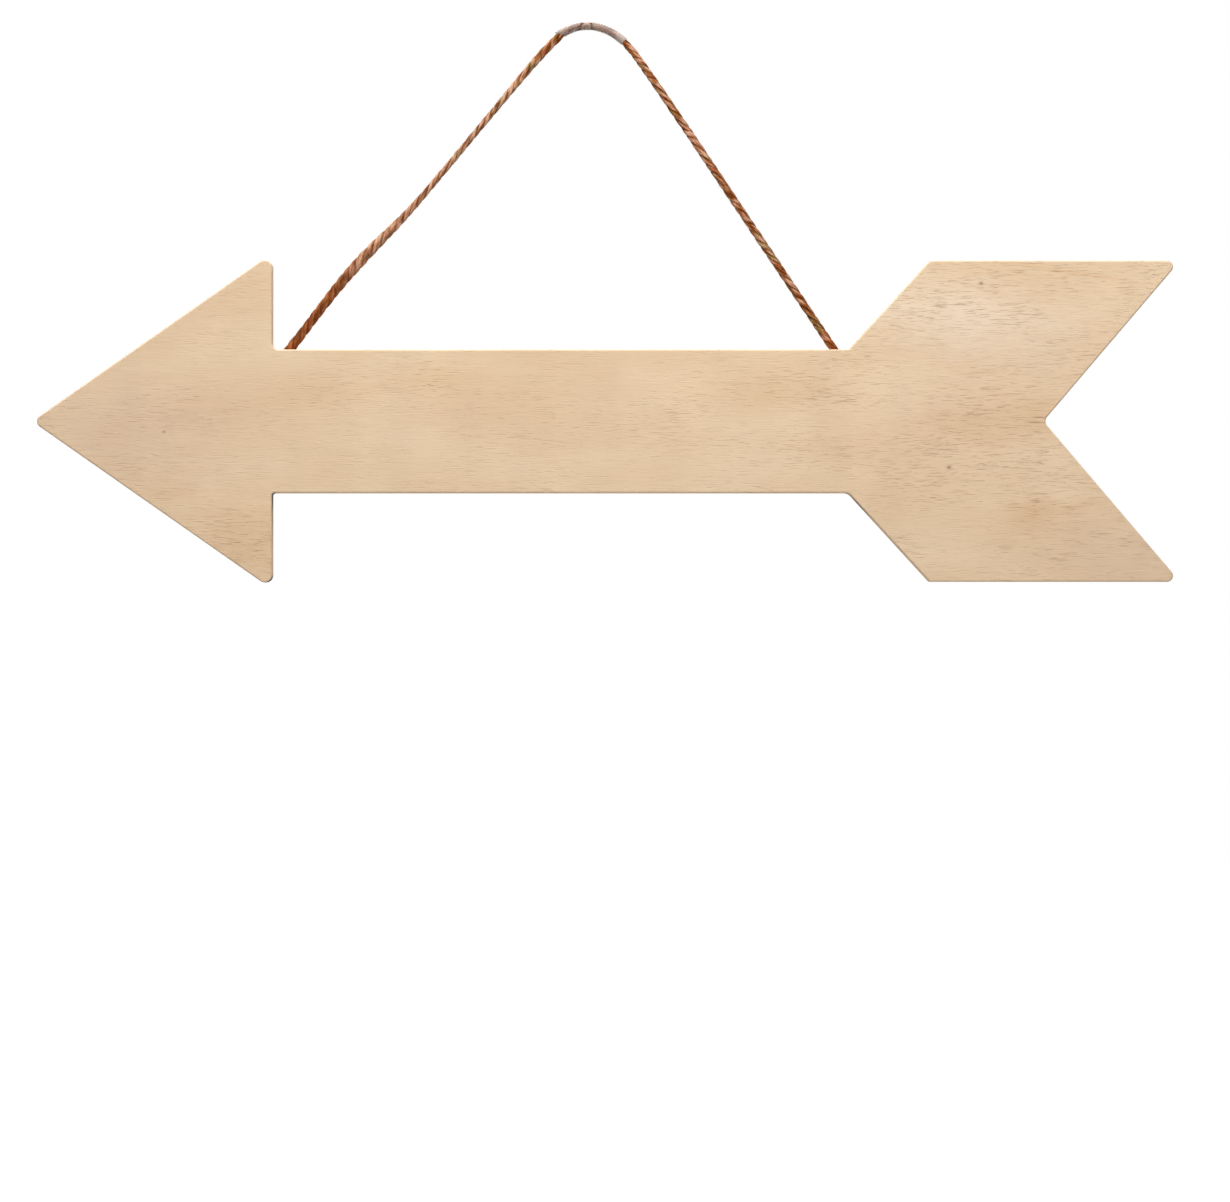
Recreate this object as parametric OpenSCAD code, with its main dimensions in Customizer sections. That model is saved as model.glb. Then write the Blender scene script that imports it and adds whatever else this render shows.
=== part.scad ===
// Hanging direction sign: an arrow cut from plywood, with a twine loop stapled to its back.
// The sign is upright, with its front towards -Y and its arrow pointing to -X.
// The origin is where the loop bears on its nail: under the tape, in the middle of the twine.

/* [Arrow] */
// Length of the arrow's head, from its sharp point to the back of the barbs
head_l = 84.6; // [70:0.1:110]
// Height of the head over its two barbs, measured to their sharp corners
head_w = 118.4; // [100:0.1:140]
// Length of the shaft, from the barbs to the root of the tail
shaft_l = 203.2; // [195:0.1:260]
// Height of the shaft
shaft_h = 50.6; // [40:0.1:64]
// Length of the tail along its edges, from its root to its sharp points
tail_l = 116.9; // [100:0.1:150]
// Height of the tail
tail_w = 113.2; // [96:0.1:130]
// Slope of the tail's leading edges from the shaft
tail_slope = 47.6; // [38:0.1:65]
// Depth of the notch in the tail's end
notch_depth = 48.2; // [30:0.1:60]
// Thickness of the plywood
board_t = 6; // [5:0.5:12]

/* [Corners and edges] */
// Radius of the arrow's point
point_r = 2.3; // [1:0.1:5]
// Radius of the barbs' outer corners
barb_r = 2.5; // [1:0.1:6]
// Radius in the upper corner between barb and shaft
barb_root_r = 2.4; // [1:0.1:5]
// Radius in the lower corner between barb and shaft
low_barb_root_r = 1; // [1:0.1:5]
// Radius in the upper corner between shaft and tail
tail_root_r = 1.5; // [1:0.1:5]
// Radius in the lower corner between shaft and tail
low_tail_root_r = 4.2; // [1:0.1:5]
// Radius of the tail's upper front corner
shoulder_r = 2.4; // [1:0.1:8]
// Radius of the tail's lower front corner
low_shoulder_r = 1; // [1:0.1:8]
// Radius of the tail's points
tail_r = 2.1; // [1:0.1:5]
// Radius in the bottom of the notch
notch_r = 2.6; // [1:0.1:5]
// Radius that sanding leaves on every edge of both faces
edge_r = 0.6; // [0.3:0.1:0.9]

/* [Hanging] */
// Height of the nail above the top of the shaft
hang_drop = 113.7; // [112:0.1:116]
// Distance from the back of the barbs to the nail
hang_from_barb = 111.7; // [109:0.1:114]
// Diameter of the twine
twine_d = 2.5; // [2:0.1:2.9]
// Thickness of the tape round the top of the loop
tape_t = 0.15; // [0.1:0.05:0.3]
// Gap between the twine and the tape round it
tape_fit = 0.05; // [0.03:0.01:0.1]

/* [Staples] */
// Outer width of a staple's crown
crown_w = 12.8; // [8:0.1:14]
// Length of a staple's legs
leg_l = 6; // [5.5:0.5:6.5]
// Width of the staple wire, along the twine
wire_w = 0.95; // [0.7:0.05:1.2]
// Thickness of the staple wire
wire_t = 0.65; // [0.4:0.05:0.8]
// Inner radius of a staple's bends
bend_r = 0.4; // [0.2:0.1:0.8]
// Distance from the board's edge to the first staple, along the twine
first_staple = 9; // [7:0.5:11]
// Distance between the two staples at each end of the twine
staple_gap = 9; // [6:0.5:10]

/* [Hidden] */
$fn = 64;

// Clearance between the twine and the board's back face
lay_fit = 0.1;
// Clearance between a staple's crown and the twine
crown_fit = 0.05;
// Clearance round a staple's leg in the wood
leg_fit = 0.02;
// How far a cutting shape reaches past what it cuts
past = 1;
// How far the sanding's section reaches out of the wood
edge_reach = 0.5;
// Share of its round height that the twine keeps where it's stapled down
pinch = 0.7;
// Length of the chisel point on a staple's legs
chisel_l = 1;
// Slight angle at which every rounded corner and sanded edge meets its neighbours
kink = 4;
// How far the sanding runs on where an edge and a corner meet: the deeper cut runs on further
long_lap = 0.3;
short_lap = 0.05;
// How much less the sanding takes off an outer corner than off an edge, and how much more off
// an inner one
corner_less = 0.02;

// Sides of the twine, and about how far apart its rings stand
twine_sides = 8;
ring_step = 6.4;

// The twine's line from its left end to its right end, as seen from the front.
// Each point is its place across, its height over the top of the loop, and its
// thickness and its height off the board, as shares of the twine's diameter.
route = [
    [-121.5, -134.9, 1.24, pinch], [-110.0, -119.8, 1.24, pinch],
    [-106.4, -115.0, 1.24, 1], [-99.0, -105.4, 1.12, 1], [-91.5, -95.6, 1.18, 1],
    [-84.6, -87.2, 1.32, 1], [-76.4, -78.4, 1.26, 1], [-68.4, -70.5, 1.02, 1],
    [-60.4, -61.9, 0.82, 1], [-51.0, -50.8, 0.76, 1], [-40.0, -37.6, 0.76, 1],
    [-30.0, -25.6, 0.80, 1], [-21.0, -14.8, 0.92, 1], [-15.0, -8.1, 0.98, 1],
    [-9.6, -2.9, 1, 1], [-5.0, -0.6, 1, 1], [0, 0, 1, 1], [4.8, -0.9, 1, 1],
    [8.8, -2.8, 1, 1], [12.4, -5.6, 0.96, 1], [16.0, -9.8, 0.90, 1],
    [22.0, -18.2, 0.92, 1], [31.6, -32.3, 0.94, 1], [43.6, -50.1, 0.96, 1],
    [57.0, -70.2, 0.98, 1], [71.8, -92.3, 0.98, 1], [87.0, -115.0, 1.02, 1],
    [90.4, -120.1, 1.02, pinch], [100.7, -135.5, 1.02, pinch]
];
// The first and last points of the route that lie under the tape
tape_from = 14;
tape_to = 19;

// Height of the twine's middle over the nail, at the top of the loop
loop_lift = twine_d / 2 + tape_fit + tape_t;
// The board's back face
back_y = -twine_d / 2 - lay_fit;

// Places along the arrow
x_barb = -hang_from_barb;
x_point = x_barb - head_l;
x_root = x_barb + shaft_l;
x_shoulder = x_root + (tail_w - shaft_h) / 2 / tan(tail_slope);
x_tail = x_root + tail_l;
x_notch = x_tail - notch_depth;
z_axis = -hang_drop - shaft_h / 2;

// The outline's sharp corners with their radii, anticlockwise as seen from the front, about the
// arrow's own axis
corners = [
    [x_point, 0, point_r],
    [x_barb, -head_w / 2, barb_r],
    [x_barb, -shaft_h / 2, low_barb_root_r],
    [x_root, -shaft_h / 2, low_tail_root_r],
    [x_shoulder, -tail_w / 2, low_shoulder_r],
    [x_tail, -tail_w / 2, tail_r],
    [x_notch, 0, notch_r],
    [x_tail, tail_w / 2, tail_r],
    [x_shoulder, tail_w / 2, shoulder_r],
    [x_root, shaft_h / 2, tail_root_r],
    [x_barb, shaft_h / 2, barb_root_r],
    [x_barb, head_w / 2, barb_r]
];

function at(list, i) = list[(i + len(list)) % len(list)];
function flat(p) = [p[0], p[1]];
function heading(a, b) = atan2(b[1] - a[1], b[0] - a[0]);
function turned(a) = a > 180 ? a - 360 : a < -180 ? a + 360 : a;
function along(angle, distance) = distance * [cos(angle), sin(angle)];

// A rounded corner: its heading in, its turn, where its arc starts and ends, the arc's centre
// and radius. The arc is turned by the kink into the wood at both its ends.
function corner(i) = let (
    p = flat(corners[i]),
    r = corners[i][2],
    a = heading(at(corners, i - 1), p),
    turn = turned(heading(p, at(corners, i + 1)) - a),
    reach = r * tan(abs(turn) / 2),
    start = p - along(a, reach),
    end = p + along(a + turn, reach),
    half = abs(turn - 2 * kink) / 2,
    radius = r * sin(abs(turn) / 2) / sin(half),
    centre = (start + end) / 2 + along(a + turn / 2 + sign(turn) * 90, radius * cos(half))
) [a, turn, start, end, centre, radius];

arcs = [for (i = [0:len(corners) - 1]) corner(i)];

// A point just inside an arc's circle, on the straight edge before its start or after its end
function near_start(c) = c[2] - along(c[0], sign(c[1]) * c[5] * sin(kink));
function near_end(c) = c[3] + along(c[0] + c[1], sign(c[1]) * c[5] * sin(kink));

// The wood outside the arc of an outer corner, out past its sharp point
module corner_waste(c, p) {
    middle = (c[2] + c[3]) / 2;
    difference() {
        polygon([near_start(c), middle + 2 * (p - middle), near_end(c)]);
        translate(c[4]) circle(c[5]);
    }
}

// The arrow's outline with true arcs at its corners
module outline() {
    difference() {
        polygon([
            for (i = [0:len(arcs) - 1])
                let (c = arcs[i])
                    each c[1] > 0 ? [flat(corners[i])] : [near_start(c), near_end(c)]
        ]);
        for (i = [0:len(arcs) - 1])
            if (arcs[i][1] > 0)
                corner_waste(arcs[i], flat(corners[i]));
            else
                translate(arcs[i][4]) circle(arcs[i][5]);
    }
}

// What sanding takes off an edge, as a section: into the board along X and down from its face
// along Y, by the same depth e in both
module edge_section(e) {
    r = e * sin(45) / sin(45 - kink);
    centre = e / 2 + r * cos(45 - kink) * sin(45);
    difference() {
        translate([-edge_reach, -edge_reach]) square(edge_reach + (e + centre) / 2);
        translate([centre, centre]) circle(r);
    }
}

// How far a straight edge's sanding runs on into corner c, and the corner's into the edge
function edge_lap(c) = c[1] > 0 ? long_lap : short_lap;
function corner_lap(c) = c[1] > 0 ? short_lap : long_lap;

// What sanding takes off the straight edge between corners c and d
module straight_sanding(c, d) {
    a = c[0] + c[1];
    from = c[3] - along(a, edge_lap(c));
    translate([from[0], from[1], 0])
        rotate([90, 0, a + 90])
            linear_extrude(edge_lap(c) + norm(d[2] - c[3]) + edge_lap(d)) edge_section(edge_r);
}

// What sanding takes off corner c
module corner_sanding(c) {
    outer = c[1] > 0;
    lap = corner_lap(c) / c[5] * 180 / PI;
    first = outer ? c[0] + kink - 90 : c[0] + c[1] - kink + 90;
    translate([c[4][0], c[4][1], 0])
        rotate([0, 0, first - lap])
            rotate_extrude(angle = abs(c[1] - 2 * kink) + 2 * lap)
                translate([c[5], 0])
                    if (outer)
                        mirror([1, 0]) edge_section(edge_r - corner_less);
                    else
                        edge_section(edge_r + corner_less);
}

// Everything that sanding takes off along one face's outline
module edge_sanding() {
    for (i = [0:len(arcs) - 1]) {
        straight_sanding(arcs[i], at(arcs, i + 1));
        corner_sanding(arcs[i]);
    }
}

// The arrow drawn in its own plane, with its back face down
module arrow() {
    difference() {
        linear_extrude(board_t) outline();
        edge_sanding();
        translate([0, 0, board_t]) mirror([0, 0, 1]) edge_sanding();
    }
}

module board() {
    color([0.89, 0.78, 0.64])
        difference() {
            translate([0, back_y, z_axis]) rotate([90, 0, 0]) arrow();
            for (s = staples) seat(s) leg_pockets(s);
        }
}

// Points of the route in space, with the twine's thickness and height off the board
function station(p) = let (d = twine_d * p[2], h = d * p[3])
    [p[0], (h - twine_d) / 2, p[1] + loop_lift, d, h];

// A smooth line through four stations, at share t between the middle two
function between(a, b, c, d, t) = 0.5 * (
    2 * b + (c - a) * t + (2 * a - 5 * b + 4 * c - d) * t * t + (3 * b - a - 3 * c + d) * t * t * t
);

function steps(a, b) = max(1, round(norm([b[0] - a[0], b[1] - a[1]]) / ring_step));

// All the stations that the twine's rings stand on
line = let (s = [for (p = route) station(p)], last = len(s) - 1) concat(
    [
        for (i = [0:last - 1])
            let (n = steps(route[i], route[i + 1]))
                for (k = [0:n - 1])
                    between(s[max(i - 1, 0)], s[i], s[i + 1], s[min(i + 2, last)], k / n)
    ],
    [s[last]]
);

// The number of the station that stands on point i of the route
function place(i) = i == 0 ? 0 : place(i - 1) + steps(route[i - 1], route[i]);

// The way the line runs at station i, in the plane of the sign
function run(i) = let (
    a = line[max(i - 1, 0)],
    b = line[min(i + 1, len(line) - 1)]
) atan2(b[2] - a[2], b[0] - a[0]);

// A ring of points round station i, grown outwards by extra
function ring(i, extra) = let (a = run(i), c = line[i]) [
    for (k = [0:twine_sides - 1])
        let (
            turn = (k + 0.5) * 360 / twine_sides,
            out = (c[3] / 2 + extra) * cos(turn),
            back = (c[4] / 2 + extra) * sin(turn)
        ) [c[0] - out * sin(a), c[1] + back, c[2] + out * cos(a)]
];

// Faces that join ring a to ring b, each given by its first point's number
function wall(a, b) = [
    for (k = [0:twine_sides - 1])
        let (n = (k + 1) % twine_sides)
            each [[a + k, b + k, b + n], [a + k, b + n, a + n]]
];
function cap(a, forward) = [[for (k = [0:twine_sides - 1]) a + (forward ? k : twine_sides - 1 - k)]];

module twine() {
    n = twine_sides;
    last = len(line) - 1;
    color([0.66, 0.44, 0.27])
        polyhedron(
            points = [for (i = [0:last]) each ring(i, 0)],
            faces = concat(
                [for (i = [0:last - 1]) each wall(i * n, (i + 1) * n)],
                cap(0, true),
                cap(last * n, false)
            )
        );
}

// The tape is a thin sleeve round the top of the loop
module tape_wrap() {
    n = twine_sides;
    from = place(tape_from);
    to = place(tape_to);
    last = (to - from) * n;
    inner = last + n;
    color([0.78, 0.72, 0.68])
        polyhedron(
            points = concat(
                [for (i = [from:to]) each ring(i, tape_fit + tape_t)],
                [for (i = [from:to]) each ring(i, tape_fit)]
            ),
            faces = concat(
                [for (a = [0:n:last - n]) each wall(a, a + n)],
                [for (a = [inner:n:inner + last - n]) each wall(a + n, a)],
                wall(inner, 0),
                wall(last, inner + last)
            )
        );
}

// A staple's seat: where the twine passes the board's edge, the way it runs on from there,
// the distance along it, and the twine's height off the board
function end_seat(edge, end, distance) = let (a = station(edge), b = station(end))
    [[a[0], a[2]], atan2(b[2] - a[2], b[0] - a[0]), distance, b[4]];

left_end = [route[2], route[0]];
right_end = [route[len(route) - 3], route[len(route) - 1]];
staples = [
    for (end = [left_end, right_end], k = [0:1])
        end_seat(end[0], end[1], first_staple + k * staple_gap)
];

// Puts a staple across the twine: its crown along X, its legs down -Z into the board's back face
module seat(s) {
    p = s[0] + along(s[1], s[2]);
    translate([p[0], back_y, p[1]])
        rotate([-90, 0, 0]) rotate([0, 0, 90 - s[1]]) children();
}

// Height of the crown's underside over the board's back face
function crown_z(s) = lay_fit + s[3] + crown_fit;

// One side of a staple's outline, a rounded bend over a leg with a chisel point
module staple_side() {
    half = crown_w / 2;
    outer = bend_r + wire_t;
    difference() {
        union() {
            translate([0, -outer]) square([half - outer, outer]);
            translate([half - outer, -outer])
                intersection() {
                    circle(outer);
                    square(outer);
                }
            translate([half - outer, -leg_l]) square([outer, leg_l - outer]);
        }
        translate([0, -leg_l - past]) square([half - outer, leg_l + past - wire_t]);
        translate([half - outer, -leg_l - past])
            square([bend_r, leg_l + past - outer]);
        translate([half - outer, -outer]) circle(bend_r);
        polygon([
            [half, -leg_l + chisel_l],
            [half + past, -leg_l + chisel_l],
            [half + past, -leg_l - past],
            [half - wire_t, -leg_l - past],
            [half - wire_t, -leg_l]
        ]);
    }
}

module staple(s) {
    color([0.74, 0.74, 0.76])
        seat(s)
            translate([0, 0, crown_z(s) + wire_t])
                rotate([90, 0, 0])
                    linear_extrude(wire_w, center = true) {
                        staple_side();
                        mirror([1, 0]) staple_side();
                    }
}

// The slots that a staple's legs have cut in the wood
module leg_pockets(s) {
    w = wire_t + 2 * leg_fit;
    v = wire_w + 2 * leg_fit;
    depth = leg_l - crown_z(s) - wire_t + leg_fit;
    for (side = [-1, 1])
        translate([side * (crown_w - wire_t) / 2 - w / 2, -v / 2, -depth])
            cube([w, v, depth + past]);
}

board();
twine();
tape_wrap();
staple(staples[0]);  // staple_left_upper
staple(staples[1]);  // staple_left_lower
staple(staples[2]);  // staple_right_upper
staple(staples[3]);  // staple_right_lower
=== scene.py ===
import math
from functools import partial

import bpy
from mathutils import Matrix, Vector, noise


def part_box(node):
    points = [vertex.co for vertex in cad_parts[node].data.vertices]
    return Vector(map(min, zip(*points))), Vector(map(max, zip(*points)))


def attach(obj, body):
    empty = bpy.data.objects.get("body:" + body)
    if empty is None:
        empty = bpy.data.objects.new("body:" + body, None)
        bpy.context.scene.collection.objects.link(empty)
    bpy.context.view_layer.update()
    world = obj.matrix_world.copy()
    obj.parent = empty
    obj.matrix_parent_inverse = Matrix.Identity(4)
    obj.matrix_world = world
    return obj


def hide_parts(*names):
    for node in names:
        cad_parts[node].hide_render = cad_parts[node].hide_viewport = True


bl_info = {
    "name": "Hanging direction sign",
    "version": (1, 0, 0),
    "blender": (4, 5, 0),
    "location": "View3D > Sidebar > Sign",
    "description": "A plywood arrow on a jute twine loop, with its tape wrap and staples",
    "category": "Object",
}

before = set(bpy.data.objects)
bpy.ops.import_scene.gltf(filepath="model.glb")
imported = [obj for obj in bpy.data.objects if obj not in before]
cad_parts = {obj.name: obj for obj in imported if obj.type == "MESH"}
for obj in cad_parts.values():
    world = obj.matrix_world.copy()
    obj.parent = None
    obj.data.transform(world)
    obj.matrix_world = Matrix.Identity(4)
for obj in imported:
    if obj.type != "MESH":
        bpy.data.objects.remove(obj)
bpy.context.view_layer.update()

MM = 0.001

# Sizes shared with the part's source, in metres, and how flat the staples press the twine
TWINE_D = 2.5 * MM
TAPE_T = 0.15 * MM
TAPE_FIT = 0.05 * MM
LOOP_LIFT = TWINE_D / 2 + TAPE_FIT + TAPE_T
PINCH = 0.7

# The twine's line from its left end to its right end: place across, height from the top of the
# loop, width as a share of the twine's diameter, and depth as a share of that width
ROUTE = [
    (-0.1215, -0.1349, 1.24, PINCH), (-0.1100, -0.1198, 1.24, PINCH),
    (-0.1064, -0.1150, 1.24, 1), (-0.0990, -0.1054, 1.12, 1), (-0.0915, -0.0956, 1.18, 1),
    (-0.0846, -0.0872, 1.32, 1), (-0.0764, -0.0784, 1.26, 1), (-0.0684, -0.0705, 1.02, 1),
    (-0.0604, -0.0619, 0.82, 1), (-0.0510, -0.0508, 0.76, 1), (-0.0400, -0.0376, 0.76, 1),
    (-0.0300, -0.0256, 0.80, 1), (-0.0210, -0.0148, 0.92, 1), (-0.0150, -0.0081, 0.98, 1),
    (-0.0096, -0.0029, 1, 1), (-0.0050, -0.0006, 1, 1), (0, 0, 1, 1), (0.0048, -0.0009, 1, 1),
    (0.0088, -0.0028, 1, 1), (0.0124, -0.0056, 0.96, 1), (0.0160, -0.0098, 0.90, 1),
    (0.0220, -0.0182, 0.92, 1), (0.0316, -0.0323, 0.94, 1), (0.0436, -0.0501, 0.96, 1),
    (0.0570, -0.0702, 0.98, 1), (0.0718, -0.0923, 0.98, 1), (0.0870, -0.1150, 1.02, 1),
    (0.0904, -0.1201, 1.02, PINCH), (0.1007, -0.1355, 1.02, PINCH),
]
# The points of the route between which the tape lies, and the width over the yarns under it as a
# share of the twine's
TAPE_FROM = 14
TAPE_TO = 19
TAPED_BULK = 0.97
# Distance between the points of the line that the yarns are laid along
LINE_STEP = 0.5 * MM

# Where the tape's end laps over it, across
LAP = (9.6 * MM, 12.1 * MM)
# Creases in the tape: middle and slant across, width in millimetres, and depth. Two lie under
# the nail, and fainter ones on both sides. The tape is painted darker in them, as painted shade.
CREASES = [
    (-3.0, 0.9, 0.8, 1.2), (1.1, -0.3, 0.75, 1.2), (4.6, 1.3, 0.5, 0.45), (-6.6, 1.6, 0.6, 0.35),
]

# Height of the board's upper edge, where the twine goes behind it
EDGE_TOP = -0.1137

# The photograph's view: its size in pixels, the size of a pixel on the board's front, what lies in
# its middle, and the width of the camera's sensor in millimetres
PHOTO_SIZE = (1230, 1202)
PHOTO_PIXEL = 0.3523 * MM
PHOTO_MIDDLE = (9.2 * MM, -202.35 * MM)
SENSOR = 36.0

# Lamps: name, place and size. Each faces the middle of the board.
LAMPS = [
    ("key", (0.10, -0.55, 0.44), 0.4), ("top", (-0.38, -0.10, 0.5), 0.4),
    ("back", (-0.1, 0.62, 0.45), 0.6),
]
BOARD_MIDDLE = (0.005, 0, -0.139)

# Pin knots on the board's front: place across, height and size, in metres
PIN_KNOTS = [
    (-149.7 * MM, -142.8 * MM, 0.7 * MM),
    (138.2 * MM, -90.4 * MM, 1.1 * MM),
    (126.9 * MM, -155.3 * MM, 1.2 * MM),
]
# Marks in the veneer: middle, half length, half height, tilt in degrees, colour, strength. The blush
# marks over the head's tip and the tail's lower right are pinker and darker; their darkening is
# painted shade, where the light falls off.
MARKS = [
    (-0.1640, -0.1420, 0.0340, 0.0220, 0, "blush", 0.34),
    (-0.1180, -0.1780, 0.0240, 0.0150, -20, "honey", 0.34),
    (0.1350, -0.1050, 0.0400, 0.0155, -6, "milk", 0.46),
    (0.1880, -0.1880, 0.0260, 0.0160, 0, "blush", 0.34),
    (-0.0560, -0.1240, 0.0210, 0.0064, 2, "honey", 0.26),
    (-0.0930, -0.1300, 0.0200, 0.0050, 3, "honey", 0.22),
    (0.0620, -0.1290, 0.0280, 0.0070, 0, "honey", 0.14),
    (0.1300, -0.1380, 0.0320, 0.0150, 0, "blush", 0.16),
    (0.1420, -0.1400, 0.0300, 0.0085, 6, "honey", 0.26),
    (0.1590, -0.1375, 0.0110, 0.0062, 4, "honey", 0.26),
    (0.1560, -0.1705, 0.0092, 0.0062, 12, "honey", 0.44),
    (0.1740, -0.1685, 0.0140, 0.0018, 14, "honey", 0.20),
    (0.1720, -0.0868, 0.0340, 0.0009, -8, "honey", 0.30),
    (-0.1530, -0.1640, 0.0220, 0.0040, -6, "honey", 0.10),
    # A splinter has lifted at the root of the notch, between two short splits
    (0.1585, -0.1376, 0.0028, 0.00022, -1, "knot", 0.75),
    (0.1575, -0.1394, 0.0036, 0.00020, -3, "knot", 0.60),
    (0.1520, -0.1377, 0.0045, 0.00016, -1, "knot", 0.35),
    (0.1595, -0.1385, 0.0020, 0.00045, -2, "cream", 0.60),
]
# Painted shade on the cut edge, darkest by the lower inner corners and at the lower tips: middle,
# half length, half height, tilt in degrees, strength
EDGE_SHADES = [
    (-0.1113, -0.1664, 0.0025, 0.0220, 0, 0.62),
    (-0.1113, -0.1662, 0.0022, 0.0055, 0, 0.96),
    (0.0955, -0.1681, 0.0100, 0.0026, -47, 0.74),
    (0.1096, -0.1832, 0.0060, 0.0026, -47, 0.22),
    (-0.1128, -0.1952, 0.0034, 0.0030, 0, 0.92),
    (0.2040, -0.1956, 0.0080, 0.0026, 0, 0.46),
]


# Kinds of node that most trees hold, and settings that many nodes share
MATH = "ShaderNodeMath"
VECTOR_MATH = "ShaderNodeVectorMath"
MAP_RANGE = "ShaderNodeMapRange"
MIX = "ShaderNodeMix"
NOISE = "ShaderNodeTexNoise"
SPLIT = "ShaderNodeSeparateXYZ"
JOIN = "ShaderNodeCombineXYZ"
MOVE = "GeometryNodeSetPosition"
STORE = "GeometryNodeStoreNamedAttribute"
SMOOTH = {"interpolation_type": "SMOOTHSTEP"}
IN_COLOUR = {"data_type": "RGBA"}
OF_VECTORS = {"data_type": "FLOAT_VECTOR"}


def linear(hex_colour):
    """Turns an sRGB hex colour into linear red, green and blue."""
    values = [int(hex_colour[i:i + 2], 16) / 255 for i in (1, 3, 5)]
    return tuple(v / 12.92 if v <= 0.04045 else ((v + 0.055) / 1.055) ** 2.4 for v in values)


def per_mm(*sizes):
    """A pattern's scale for Object coordinates, from the size in millimetres of its features."""
    return tuple(1000 / size for size in sizes)


def a_length(name, description, default, lowest=0.0):
    """A setting that is a length."""
    return bpy.props.FloatProperty(
        name=name, description=description, default=default, min=lowest, unit="LENGTH", precision=6,
    )


def a_colour(name, description, hex_colour):
    """A setting that is a colour, with an sRGB hex value as its default."""
    return bpy.props.FloatVectorProperty(
        name=name, description=description, default=linear(hex_colour), subtype="COLOR",
    )


def a_power(name, description, default):
    """A setting that is the power of a lamp."""
    return bpy.props.FloatProperty(
        name=name, description=description, default=default, subtype="POWER"
    )


def add_node(tree, kind, settings=None, inputs=(), output=0):
    """Adds a node, and sets or links its inputs, which are given by name or in order.

    Settings that are a single word are the node's operation. Gives one of its outputs.
    """
    node = tree.nodes.new(kind)
    if isinstance(settings, str):
        settings = {"operation": settings}
    for name, value in (settings or {}).items():
        setattr(node, name, value)
    inputs = inputs if isinstance(inputs, dict) else dict(enumerate(inputs))
    for key, value in inputs.items():
        if isinstance(value, bpy.types.NodeSocket):
            tree.links.new(value, node.inputs[key])
        else:
            node.inputs[key].default_value = value
    return node.outputs[output] if node.outputs else None


def new_material(name):
    """An empty material, its node tree, and what adds a node to that."""
    material = bpy.data.materials.new(name)
    material.use_nodes = True
    material.node_tree.nodes.clear()
    return material, material.node_tree, partial(add_node, material.node_tree)


def mottle(tree, place, scale, detail, roughness=0.5, shift=(0, 0, 0), distortion=0.0):
    """Noise stretched to a scale: streaks, smears or clouds."""
    stretched = add_node(tree, "ShaderNodeMapping", None, {
        "Vector": place, "Scale": scale, "Location": shift,
    })
    return add_node(tree, NOISE, None, {
        "Vector": stretched, "Scale": 1.0, "Detail": detail, "Roughness": roughness,
        "Distortion": distortion,
    })


def tone_over(tree, colour, tone, value, start, end, most=1.0):
    """Lays a tone over a colour as a value goes from start to end. Gives the tone's share too."""
    share = add_node(tree, MAP_RANGE, SMOOTH, (value, start, end, 0.0, most))
    mixed = add_node(tree, MIX, IN_COLOUR, {0: share, 6: colour, 7: (*tone, 1)}, 2)
    return mixed, share


def oval_distance(tree, place, middle, halves, tilt=0):
    """How far a place lies from the middle of a tilted oval: 1 on its outline."""
    centred = add_node(tree, "ShaderNodeMapping", {"vector_type": "TEXTURE"}, {
        "Vector": place, "Location": middle, "Rotation": (0, math.radians(-tilt), 0),
        "Scale": halves,
    })
    return add_node(tree, VECTOR_MATH, "LENGTH", {0: centred}, "Value")


def add_surface(tree, values):
    """Ends a material's tree with its shader."""
    shader = add_node(tree, "ShaderNodeBsdfPrincipled", None, values)
    add_node(tree, "ShaderNodeOutputMaterial", None, {"Surface": shader})


def new_geometry_tree(name, inputs):
    """A geometry tree with named inputs. Each is given as its name, socket type and default."""
    tree = bpy.data.node_groups.new(name, "GeometryNodeTree")
    for label, kind, default in [("Geometry", "Geometry", None), *inputs]:
        socket = tree.interface.new_socket(label, in_out="INPUT", socket_type="NodeSocket" + kind)
        if default is not None:
            socket.default_value = default
    tree.interface.new_socket("Geometry", in_out="OUTPUT", socket_type="NodeSocketGeometry")
    given = tree.nodes.new("NodeGroupInput").outputs
    return tree, given, partial(add_node, tree)


def end_geometry_tree(tree, mesh, material):
    """Ends a geometry tree with a plain mesh of one material."""
    mesh = add_node(tree, "GeometryNodeRealizeInstances", None, {"Geometry": mesh})
    mesh = add_node(tree, "GeometryNodeSetMaterial", None, {"Geometry": mesh, "Material": material})
    add_node(tree, "NodeGroupOutput", None, {"Geometry": mesh})


def apply_tree(piece, tree, values):
    """Runs a geometry tree on a piece and keeps the result as its plain mesh."""
    modifier = piece.modifiers.new(tree.name, "NODES")
    modifier.node_group = tree
    for item in tree.interface.items_tree:
        if item.in_out == "INPUT" and item.name in values:
            modifier[item.identifier] = values[item.name]
    graph = bpy.context.evaluated_depsgraph_get()
    mesh = bpy.data.meshes.new_from_object(
        piece.evaluated_get(graph), preserve_all_data_layers=True, depsgraph=graph
    )
    piece.modifiers.clear()
    old = piece.data
    piece.data = mesh
    bpy.data.meshes.remove(old)


def new_piece(name, points, faces=(), edges=()):
    """A new object at the origin, from points in the row frame."""
    mesh = bpy.data.meshes.new(name)
    mesh.from_pydata(points, edges, faces)
    piece = bpy.data.objects.new(name, mesh)
    bpy.context.collection.objects.link(piece)
    return piece


def coat(node, material):
    """Gives a CAD node its material."""
    for place in node.material_slots:
        place.material = material


def station(point):
    """Where the twine's middle runs at a point of the route, its thickness and its flatness."""
    across, height, thickness, flatness = point
    thickness *= TWINE_D
    back = (thickness * flatness - TWINE_D) / 2
    return (across, back, height + LOOP_LIFT, thickness, flatness)


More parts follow.
